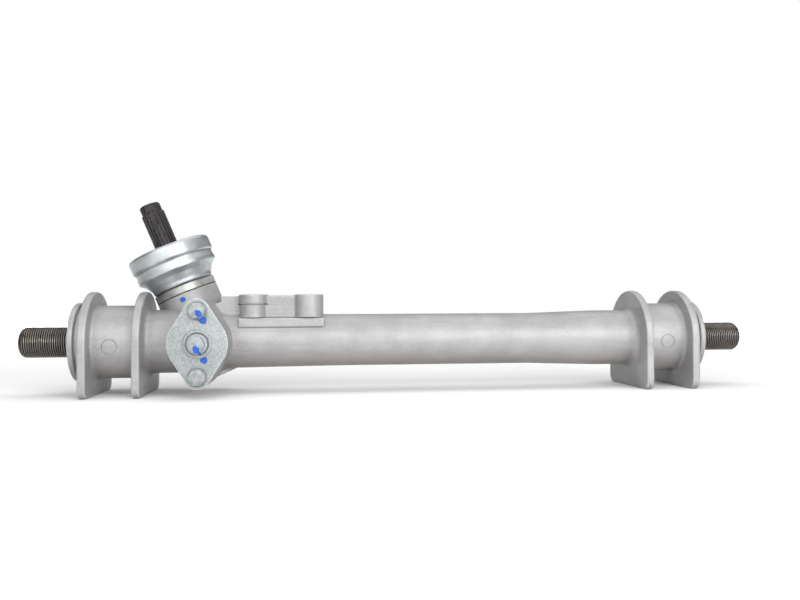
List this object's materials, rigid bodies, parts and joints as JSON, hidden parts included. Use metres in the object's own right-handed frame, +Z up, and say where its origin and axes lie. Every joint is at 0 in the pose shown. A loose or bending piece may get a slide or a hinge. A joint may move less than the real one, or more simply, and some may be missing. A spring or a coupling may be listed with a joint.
{
  "type": "steering gearbox",
  "caption": "Manual rack-and-pinion steering gearbox: toothed rack in a cast housing with clamp flanges, splined helical pinion in a tilted tower with a pressed cup.",
  "frame": {"origin": "on the rack axis, midway between the two clamp seats", "axes": "+X along the rack away from the pinion, +Z up from the flange feet, +Y to the rear, away from the yoke cover"},
  "size_m": [0.543, 0.1028, 0.1418],
  "materials": {
    "cast_aluminium": "shot-blasted casting",
    "rack_steel": "oiled dark steel",
    "bush_plastic": "moulded",
    "spring_steel": "oil tempered",
    "phosphated_steel": "black phosphate",
    "bearing_steel": "ground",
    "cage_brass": "pressed",
    "gasket_fibre": "dark sealing sheet",
    "machined_aluminium": "machined",
    "zinc_steel": "bright zinc plate",
    "seal_rubber": "moulded",
    "screw_steel": "zinc plated",
    "yoke_metal": "turned",
    "cover_metal": "coarse cast, dull",
    "adjuster_steel": "dull zinc",
    "bolt_steel": "dull zinc"
  },
  "bodies": {
    "gearbox": {"housing": "cast_aluminium", "rack_bush": "bush_plastic", "bush_retaining_ring": "spring_steel", "bearing_outer_race": "bearing_steel", "needle_cup": "bearing_steel", "retainer_gasket": "gasket_fibre", "pinion_retainer": "machined_aluminium", "seal_case": "zinc_steel", "pinion_seal": "seal_rubber", "column_cup": "zinc_steel", "cup_screws": "screw_steel", "yoke": "yoke_metal", "yoke_liner": "bush_plastic", "yoke_o_ring": "seal_rubber", "yoke_spring": "spring_steel", "yoke_cover_gasket": "gasket_fibre", "yoke_cover": "cover_metal", "yoke_cover_bolts": "bolt_steel"},
    "rack": {"rack": "rack_steel"},
    "pinion": {"pinion_shaft": "phosphated_steel", "bearing_inner_race": "bearing_steel", "bearing_circlip": "spring_steel"},
    "ball_set": {"bearing_balls": "bearing_steel", "bearing_cage": "cage_brass"},
    "needle_set": {"bearing_needles": "bearing_steel", "needle_cage": "cage_brass"},
    "adjuster": {"yoke_adjuster": "adjuster_steel"}
  },
  "joints": [
    {"name": "rack_slide", "type": "slide", "parent": "gearbox", "child": "rack", "axis": [1, 0, 0], "range_m": [-0.068, 0.068]},
    {"name": "pinion_spin", "type": "hinge", "parent": "gearbox", "child": "pinion", "pos_m": [-0.143, 0.015, 0], "axis": [-0.3859, 0, 0.9225], "range_deg": [-650, 650]},
    {"name": "ball_orbit", "type": "hinge", "parent": "gearbox", "child": "ball_set", "pos_m": [-0.143, 0.015, 0], "axis": [-0.3859, 0, 0.9225], "range_deg": [-274, 274]},
    {"name": "needle_orbit", "type": "hinge", "parent": "gearbox", "child": "needle_set", "pos_m": [-0.143, 0.015, 0], "axis": [-0.3859, 0, 0.9225], "range_deg": [-290, 290]},
    {"name": "adjuster_turn", "type": "hinge", "parent": "gearbox", "child": "adjuster", "pos_m": [-0.1415, -0.045, 0], "axis": [0, -1, 0], "range_deg": [-30, 30]}
  ],
  "couplings": [
    {"joint": "pinion_spin", "follows": "rack_slide", "rad_per_m": 166.67},
    {"joint": "ball_orbit", "follows": "rack_slide", "rad_per_m": 70},
    {"joint": "needle_orbit", "follows": "rack_slide", "rad_per_m": 74.074}
  ]
}
